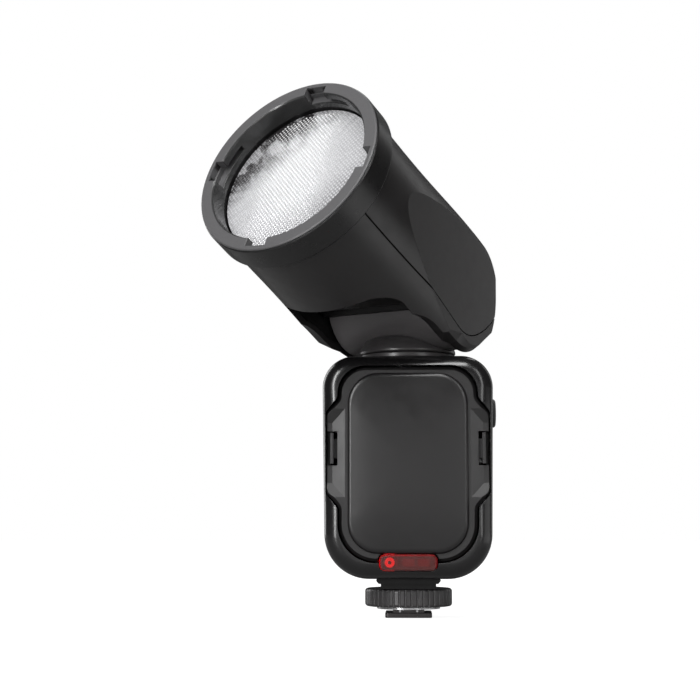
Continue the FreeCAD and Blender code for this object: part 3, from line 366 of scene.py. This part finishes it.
def lens_finish():
    """Prismatic acrylic, bright partly by a painted glow of its own, though the lens is no lamp.

    Rows of prisms are painted on it, darker towards the lower right, with painted reflections: fine rays from the
    middle and dark patches near the rim, towards the upper left.
    """
    s = Shader("lens_prism")
    split = s.tree.nodes.new("ShaderNodeSeparateXYZ")
    s.link(s.coords, split.inputs["Vector"])
    across, up = split.outputs["Y"], split.outputs["Z"]
    radius = s.math("SQRT", s.math("ADD", s.math("MULTIPLY", across, across), s.math("MULTIPLY", up, up)))
    angle = s.math("ARCTAN2", up, across)
    # Painted reflection: fine rays from the middle, stronger towards the rim, darken the colour and the glow.
    rays = s.tree.nodes.new("ShaderNodeTexNoise")
    rays.noise_dimensions = "1D"
    rays.inputs["Scale"].default_value = 14.0
    rays.inputs["Detail"].default_value = 4.0
    s.link(angle, rays.inputs["W"])
    rim = s.remap(radius, 8 * MM, LENS_R * MM, 0.0, 1.0)
    painted_ray_reflection = s.remap(rays.outputs["Fac"], 0.35, 0.65, 0.0, 1.0)
    cells = s.tree.nodes.new("ShaderNodeTexVoronoi")
    cells.inputs["Scale"].default_value = 1 / (PRISM_PITCH * MM)
    cells.inputs["Randomness"].default_value = 0.15
    turn = s.tree.nodes.new("ShaderNodeMapping")
    turn.inputs["Rotation"].default_value = (math.radians(45), 0.0, 0.0)
    turn.inputs["Scale"].default_value = (0.0, 1.0, 1.0)
    s.link(s.coords, turn.inputs["Vector"])
    s.link(turn.outputs["Vector"], cells.inputs["Vector"])
    dots = s.remap(cells.outputs["Distance"], 0.18, 0.46, 1.0, 0.0)
    # Painted reflection: dark patches near the rim, towards the upper left, darken the colour and the glow.
    patch = s.remap(s.noise(110, 3.0, 0.6), 0.44, 0.60, 0.0, 1.0)
    shade_side = s.remap(s.math("SUBTRACT", up, s.math("MULTIPLY", across, 0.9)), 14 * MM, 38 * MM, 0.0, 1.0)
    shade = s.math("MULTIPLY", shade_side, s.math("ADD", s.math("MULTIPLY", patch, 0.75), 0.35))
    # The prism dots are painted darker towards the lower right.
    low_side = s.remap(s.math("SUBTRACT", s.math("MULTIPLY", across, 0.7), up), 12 * MM, 26 * MM, 0.0, 1.0)
    dot_depth = s.math("ADD", s.math("MULTIPLY", low_side, 0.32), 0.36)
    dark = s.math("ADD", shade, s.math("MULTIPLY", s.math("SUBTRACT", 1.0, dots), dot_depth))
    dark = s.math("ADD", dark, s.math("MULTIPLY", s.math("MULTIPLY", painted_ray_reflection, rim), 0.12))
    tone = s.remap(dark, 0.0, 1.0, 1.0, 0.0)
    color = s.mix(tone, (0.02, 0.019, 0.02), (0.30, 0.30, 0.31))
    s.link(color, s.bsdf.inputs["Base Color"])
    # Painted glow: the lens emits light in the same pattern as its colour, though it is no lamp.
    s.link(s.mix(tone, (0.01, 0.01, 0.01), (0.90, 0.90, 0.92)), s.bsdf.inputs["Emission Color"])
    s.link(s.remap(s.noise(900), 0.3, 0.7, 0.12, 0.24), s.bsdf.inputs["Roughness"])
    s.set(IOR=1.49, Coat_Weight=0.5, Coat_Roughness=0.08, Emission_Strength=0.34)
    return s.material


def lens_point(t, u, sink):
    """Point on the domed face, sunk below it, in the head's frame."""
    return Vector(((lens_height(math.hypot(t, u)) - sink) * MM, t * MM, u * MM))


def build_prism_lens():
    """Domed glass, with a square grid of low pyramids set on the diagonal over its face."""
    bm = bmesh.new()
    rings = 20
    spokes = 96
    turns = [2 * math.pi * k / spokes for k in range(spokes)]
    loops = []
    for i in range(1, rings + 1):
        r = LENS_R * i / rings
        loops.append([bm.verts.new(lens_point(r * math.sin(t), r * math.cos(t), 0.25)) for t in turns])
    back_x = LENS_X - 1.6
    loops.append([bm.verts.new(Vector((back_x, LENS_R * math.sin(t), LENS_R * math.cos(t))) * MM)
                  for t in turns])
    front = bm.verts.new(lens_point(0, 0, 0.25))
    back = bm.verts.new(Vector((back_x, 0, 0)) * MM)
    for k in range(spokes):
        n = (k + 1) % spokes
        bm.faces.new((front, loops[0][k], loops[0][n]))
        bm.faces.new((back, loops[-1][n], loops[-1][k]))
        for inner, outer in zip(loops, loops[1:]):
            bm.faces.new((inner[k], outer[k], outer[n], inner[n]))
    reach = LENS_R - 0.5
    count = int(LENS_R * 1.5 / PRISM_PITCH)
    diagonal = PRISM_PITCH * math.sqrt(0.5)
    for i in range(-count, count):
        for j in range(-count, count):
            corners = ((i, j), (i + 1, j), (i + 1, j + 1), (i, j + 1))
            spots = [((a - b) * diagonal, (a + b) * diagonal) for a, b in corners]
            if max(math.hypot(*spot) for spot in spots) > reach:
                continue
            base = [bm.verts.new(lens_point(t, u, 0.32)) for t, u in spots]
            tip = bm.verts.new(lens_point(sum(t for t, u in spots) / 4, sum(u for t, u in spots) / 4, 0.02))
            for k in range(4):
                bm.faces.new((base[k], base[(k + 1) % 4], tip))
            bm.faces.new(base[::-1])
    return mesh_object("prism_lens", bm, lens_finish(), "head", HEAD)


lens = build_prism_lens()
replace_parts(lens, "front_lens")


# ---------------------------------------------------------------- crowned battery panel
panel_low, panel_high = (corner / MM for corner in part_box("battery_panel"))
PANEL_X = panel_high.x
PANEL_Z = (panel_low.z, panel_high.z)
PANEL_R = 12.0
PANEL_BACK_Y = panel_high.y
PANEL_DEPTH = panel_high.y - panel_low.y
PANEL_CROWN = 1.6
PANEL_SHOULDER = 0.93


def panel_height(s):
    """Height of the panel above its back at the fraction s of the way from its middle to its edge."""
    crown = PANEL_DEPTH - PANEL_CROWN * min(s, PANEL_SHOULDER) ** 2.4
    if s <= PANEL_SHOULDER:
        return crown
    over = (s - PANEL_SHOULDER) / (1 - PANEL_SHOULDER)
    return 0.15 + (crown - 0.15) * math.sqrt(max(1 - over ** 2, 0.0))


def panel_outline(steps=16):
    """Rounded rectangle about the panel's middle, in mm."""
    half_z = (PANEL_Z[1] - PANEL_Z[0]) / 2
    spots = []
    for sx, sz, start in ((1, 1, 0), (-1, 1, 90), (-1, -1, 180), (1, -1, 270)):
        for i in range(steps + 1):
            turn = math.radians(start + 90 * i / steps)
            spots.append((sx * (PANEL_X - PANEL_R) + PANEL_R * math.cos(turn),
                          sz * (half_z - PANEL_R) + PANEL_R * math.sin(turn)))
        ax, az = spots[-1]
        bx, bz = (-ax, az) if sx == sz else (ax, -az)
        spots.extend((ax + (bx - ax) * i / 12, az + (bz - az) * i / 12) for i in range(1, 12))
    return spots


def build_crowned_panel():
    """Pillowed panel: the middle stands proud and the surface rolls over into its edge."""
    middle_z = sum(PANEL_Z) / 2
    fractions = [0.08 * i for i in range(1, 12)] + [0.91, 0.93, 0.945, 0.96, 0.972, 0.982, 0.99, 0.996, 1.0]
    outline = panel_outline()
    bm = bmesh.new()
    loops = []
    for s in fractions:
        y = PANEL_BACK_Y - panel_height(s)
        loops.append([bm.verts.new(Vector((x * s, y, middle_z + z * s)) * MM) for x, z in outline])
    loops.append([bm.verts.new(Vector((x, PANEL_BACK_Y, middle_z + z)) * MM) for x, z in outline])
    front = bm.verts.new(Vector((0, PANEL_BACK_Y - PANEL_DEPTH, middle_z)) * MM)
    back = bm.verts.new(Vector((0, PANEL_BACK_Y, middle_z)) * MM)
    count = len(outline)
    for k in range(count):
        n = (k + 1) % count
        bm.faces.new((front, loops[0][k], loops[0][n]))
        bm.faces.new((back, loops[-1][n], loops[-1][k]))
        for inner, outer in zip(loops, loops[1:]):
            bm.faces.new((inner[k], outer[k], outer[n], inner[n]))
    for face in bm.faces:
        face.smooth = True
    return mesh_object("crowned_panel", bm, finishes["panel_charcoal"], "battery")


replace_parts(build_crowned_panel(), "battery_panel")


# ---------------------------------------------------------------- small marks and fittings
def add_box(bm, x, y, z):
    """Box between two limits on each axis, in mm, in the world frame."""
    corners = [bm.verts.new(Vector((x[i], y[j], z[k])) * MM) for i in (0, 1) for j in (0, 1) for k in (0, 1)]
    for face in ((0, 1, 3, 2), (4, 6, 7, 5), (0, 4, 5, 1), (2, 3, 7, 6), (0, 2, 6, 4), (1, 5, 7, 3)):
        bm.faces.new([corners[i] for i in face])


def add_ring(bm, centre, inner, outer, y, sweep=360, start=0):
    """Flat ring or part of one, in mm, facing along Y between two depths; inner 0 makes a disc."""
    steps = 40
    closed = sweep == 360
    spots = range(steps if closed else steps + 1)
    loops = []
    for radius, depth in ((inner, y[0]), (outer, y[0]), (outer, y[1]), (inner, y[1])):
        turns = [math.radians(start + sweep * i / steps) for i in spots]
        loops.append([bm.verts.new(Vector((centre[0] + radius * math.cos(t), depth,
                                           centre[1] + radius * math.sin(t))) * MM) for t in turns])
    for near, far in zip(loops, loops[1:] + loops[:1]):
        for i in range(steps):
            k = (i + 1) % len(near)
            bm.faces.new((near[i], near[k], far[k], far[i]))
    if not closed:
        for i in (0, -1):
            bm.faces.new([loop[i] for loop in loops])


mark_white = plastic("mark_white", (0.55, 0.55, 0.54), (0.45, 0.55), 1500, 0.005, 0.06)
page_ink = plastic("page_ink", (0.42, 0.46, 0.48), (0.4, 0.5), 1200, 0.003, 0.08,
                   Emission_Color=(0.75, 0.85, 0.9, 1.0), Emission_Strength=0.12)
led_core = plastic("led_core", (0.02, 0.004, 0.005), (0.3, 0.4), 1500, 0.01, 0.2)
GLASS_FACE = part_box("display_glass")[1].y / MM
KEY_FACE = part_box("mode_button")[1].y / MM
GLASS_Y = (GLASS_FACE, GLASS_FACE + 0.04)
KEY_Y = (KEY_FACE, KEY_FACE + 0.03)
RIVET_X = 3.4
RIVET_Z = 2.62
RIVET_R = 0.42
RIVET_Y = (-8.55, -8.4)


def key_middle(node):
    """Middle of a key's face, as x and z in mm."""
    low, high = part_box(node)
    return (low.x + high.x) / 2 / MM, (low.z + high.z) / 2 / MM


def build_display_page():
    """A generic page of rules, level bars and ticks, with no text."""
    bm = bmesh.new()
    for z in (90.6, 69.4):
        add_box(bm, (-21.0, 21.0), GLASS_Y, (z, z + 0.25))
    for i in range(5):
        add_box(bm, (20.2 - 8.6 * i, 20.2 - 8.6 * i - 6.0), GLASS_Y, (65.4, 66.9))
    for i in range(13):
        height = 1.6 if i % 4 == 0 else 0.8
        add_box(bm, (19.8 - 3.3 * i - 0.15, 19.8 - 3.3 * i + 0.15), GLASS_Y, (72.0, 72.0 + height))
    for i, (left, right) in enumerate(((-2.0, 20.2), (7.5, 20.2), (12.0, 20.2))):
        add_box(bm, (left, right), GLASS_Y, (86.2 - 4.2 * i, 88.0 - 4.2 * i))
    for x in (-8.0, -15.0):
        add_ring(bm, (x, 82.5), 2.3, 2.8, GLASS_Y)
    mesh_object("display_page", bm, page_ink, "body")


def build_key_marks():
    """Bars on the mode and group keys, a ring on the test key and a power sign on the power key."""
    for name, bars in (("mode_button", 2), ("group_button", 3)):
        x, z = key_middle(name)
        bm = bmesh.new()
        for i in range(bars):
            add_box(bm, (x - 2.2, x + 2.2), KEY_Y, (z - 1.2 + 0.9 * i, z - 0.95 + 0.9 * i))
        mesh_object(name + "_mark", bm, mark_white, name)
    bm = bmesh.new()
    add_ring(bm, key_middle("test_button"), 1.2, 1.5, KEY_Y)
    mesh_object("test_button_mark", bm, mark_white, "test_button")
    x, z = key_middle("power_button")
    bm = bmesh.new()
    add_ring(bm, (x, z), 1.2, 1.5, KEY_Y, 290, 125)
    add_box(bm, (x - 0.15, x + 0.15), KEY_Y, (z, z + 1.7))
    mesh_object("power_button_mark", bm, mark_white, "power_button")


def build_lamp_details():
    """Dark core of the lit lamp behind the red window, and two bright rivets on the foot's stem."""
    bm = bmesh.new()
    front = LAMP_FRONT / MM
    add_ring(bm, (LAMP_X / MM, LAMP_Z / MM), 0.0, 0.7, (front - 0.15, front - 0.02))
    bmesh.ops.remove_doubles(bm, verts=bm.verts, dist=1e-7)
    mesh_object("lamp_core", bm, led_core, "body")
    bm = bmesh.new()
    for x in (-RIVET_X, RIVET_X):
        add_ring(bm, (x, RIVET_Z), 0.0, RIVET_R, RIVET_Y)
    bmesh.ops.remove_doubles(bm, verts=bm.verts, dist=1e-7)
    mesh_object("stem_rivets", bm, finishes["steel"], "body")


build_display_page()
build_key_marks()
build_lamp_details()


# ---------------------------------------------------------------- studio
STAGE_R = 3.0
STAGE_GAP = 0.0002
AMBIENT = 0.07
CAMERA_PLACE = (0.0, -0.600, 0.036)
CAMERA_RAISE = 6.79            # degrees above level
CAMERA_YAW = 2.24              # degrees towards -X
CAMERA_LENS = 76.0             # focal length in mm, on a 36 mm sensor


def stage_finish():
    """Floor that the camera sees as white, but that throws little light back on the object."""
    s = Shader("stage_white")
    tone = s.remap(s.noise(4, 2.0), 0.3, 0.7, 0.0, 1.0)
    s.link(s.mix(tone, (0.24, 0.24, 0.24), (0.27, 0.27, 0.27)), s.bsdf.inputs["Base Color"])
    s.link(s.remap(s.noise(9, 2.0), 0.3, 0.7, 0.85, 0.95), s.bsdf.inputs["Roughness"])
    reach = s.tree.nodes.new("ShaderNodeVectorMath")
    reach.operation = "LENGTH"
    s.link(s.coords, reach.inputs[0])
    seen = s.tree.nodes.new("ShaderNodeLightPath").outputs["Is Camera Ray"]
    glow = s.math("MULTIPLY", seen, s.remap(reach.outputs["Value"], 0.03, 0.3, 0.92, 1.0))
    s.link(glow, s.bsdf.inputs["Emission Strength"])
    s.set(Emission_Color=(1.0, 1.0, 1.0, 1.0))
    return s.material


def build_stage():
    """Round floor just under the foot."""
    bm = bmesh.new()
    spokes = 64
    floor_z = cad_box[0][2] - STAGE_GAP
    turns = [2 * math.pi * k / spokes for k in range(spokes)]
    bm.faces.new([bm.verts.new((STAGE_R * math.cos(t), STAGE_R * math.sin(t), floor_z)) for t in turns])
    mesh = bpy.data.meshes.new("studio_floor")
    bm.to_mesh(mesh)
    bm.free()
    mesh.materials.append(stage_finish())
    floor = bpy.data.objects.new("studio_floor", mesh)
    bpy.context.scene.collection.objects.link(floor)


def area_light(name, power, size, place, target):
    """Soft rectangular light, hidden from the camera: power in watts, the rest in metres."""
    data = bpy.data.lights.new(name, "AREA")
    data.shape = "RECTANGLE"
    data.energy = power
    data.size, data.size_y = size
    light = bpy.data.objects.new(name, data)
    light.location = place
    light.rotation_euler = (Vector(target) - Vector(place)).to_track_quat("-Z", "Y").to_euler()
    light.visible_camera = False
    bpy.context.scene.collection.objects.link(light)


def build_world():
    """White to the camera and a weak, even light for everything else."""
    world = bpy.data.worlds.new("studio")
    world.use_nodes = True
    bpy.context.scene.world = world
    tree = world.node_tree
    background = tree.nodes["Background"]
    background.inputs["Color"].default_value = (1, 1, 1, 1)
    background.inputs["Strength"].default_value = 1.0
    dim = tree.nodes.new("ShaderNodeBackground")
    dim.inputs["Color"].default_value = (1, 1, 1, 1)
    dim.inputs["Strength"].default_value = AMBIENT
    path = tree.nodes.new("ShaderNodeLightPath")
    switch = tree.nodes.new("ShaderNodeMixShader")
    tree.links.new(path.outputs["Is Camera Ray"], switch.inputs["Fac"])
    tree.links.new(dim.outputs["Background"], switch.inputs[1])
    tree.links.new(background.outputs["Background"], switch.inputs[2])
    tree.links.new(switch.outputs["Shader"], tree.nodes["World Output"].inputs["Surface"])


build_stage()
build_world()
area_light("strip_left", 7.0, (0.12, 0.9), (-0.44, -0.66, 0.22), (0, 0, 0.09))
area_light("strip_right", 2.0, (0.12, 0.9), (0.46, -0.66, 0.22), (0, 0, 0.09))
area_light("rim_left", 2.2, (0.3, 0.8), (-0.55, 0.55, 0.25), (0, 0, 0.12))
area_light("rim_right", 0.4, (0.2, 0.8), (0.55, 0.60, 0.25), (0, 0, 0.12))
area_light("top_front", 6.5, (0.5, 0.35), (-0.05, -0.55, 0.75), (0, 0, 0.10))
area_light("top_rear", 1.5, (0.5, 0.4), (0.05, 0.5, 0.75), (0, 0, 0.12))
area_light("card_right", 0.09, (0.16, 0.22), (0.17, -0.05, 0.012), (-0.02, -0.05, 0.16))
area_light("front", 0.8, (1.0, 0.16), (0, -1.1, 0.09), (0, 0, 0.06))

camera_data = bpy.data.cameras.new("camera")
camera_data.sensor_width = 36.0
camera_data.lens = CAMERA_LENS
camera = bpy.data.objects.new("camera", camera_data)
camera.location = CAMERA_PLACE
camera.rotation_euler = (math.radians(90 + CAMERA_RAISE), 0.0, math.radians(CAMERA_YAW))
bpy.context.scene.collection.objects.link(camera)
bpy.context.scene.camera = camera
bpy.context.scene.view_settings.view_transform = "Standard"
